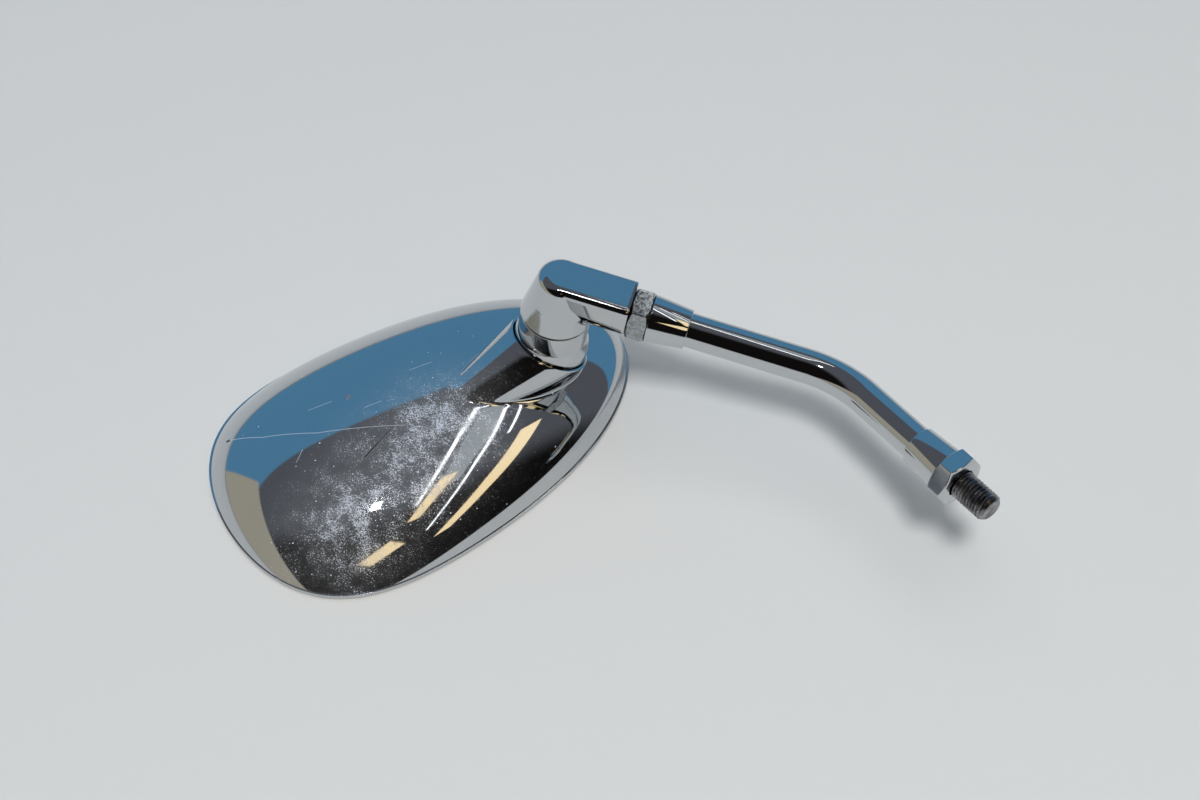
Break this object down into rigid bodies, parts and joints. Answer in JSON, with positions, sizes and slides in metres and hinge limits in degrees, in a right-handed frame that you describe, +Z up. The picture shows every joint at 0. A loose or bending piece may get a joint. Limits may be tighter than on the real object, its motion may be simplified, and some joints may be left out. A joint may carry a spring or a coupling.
{
  "type": "motorcycle mirror",
  "caption": "Chromed motorcycle mirror: egg-shaped domed head on a ball joint, cast elbow and bent stem that ends in a threaded stud.",
  "frame": {"origin": "middle of the mirror's box, on the plane of the rim that it lies on", "axes": "+X along the row from the head to the stud, +Z up from the rim's plane toward the elbow"},
  "size_m": [0.2648, 0.1272, 0.0678],
  "materials": {
    "chrome": "bright chrome plate with fine pits",
    "mirror": "silvered convex glass",
    "black_rubber": "matt black rubber",
    "foam": "closed-cell foam",
    "nylon": "black nylon",
    "spring_steel": "oiled spring steel",
    "dull_zinc": "dull zinc plate, mottled",
    "dark_steel": "dark oxide on rolled thread"
  },
  "bodies": {
    "head": {"mirror_shell": "chrome", "mirror_glass": "mirror", "glass_gasket": "black_rubber", "backing_pad": "foam"},
    "liner": {"friction_liner": "nylon"},
    "spring_pack": {"dished_washer": "spring_steel", "disc_springs": "spring_steel", "spring_washer": "spring_steel"},
    "elbow": {"pivot_bolt": "dull_zinc", "pivot_ball": "chrome", "elbow_washer": "nylon", "elbow": "chrome"},
    "stem": {"elbow_stud": "dark_steel", "jam_nut": "dull_zinc", "upper_collar": "chrome", "stem_tube": "chrome", "lower_collar": "chrome", "lock_nut": "chrome", "mount_stud": "dark_steel"}
  },
  "joints": [
    {"name": "ball_tilt_along", "type": "hinge", "parent": "head", "child": "liner", "pos_m": [-0.01292, 0.02347, 0.031], "axis": [-0.6356, 0.7649, 0.105], "range_deg": [-5, 20]},
    {"name": "ball_tilt_across", "type": "hinge", "parent": "liner", "child": "spring_pack", "pos_m": [-0.01292, 0.02347, 0.031], "axis": [-0.7588, -0.644, 0.0978], "range_deg": [-10, 10]},
    {"name": "ball_turn", "type": "hinge", "parent": "spring_pack", "child": "elbow", "pos_m": [-0.01292, 0.02347, 0.031], "axis": [0.1424, -0.0175, 0.9897], "range_deg": [-90, 90]},
    {"name": "stem_turn", "type": "hinge", "parent": "elbow", "child": "stem", "pos_m": [0.01483, 0.01648, 0.05507], "axis": [0.9548, -0.2609, -0.142], "continuous": true}
  ]
}
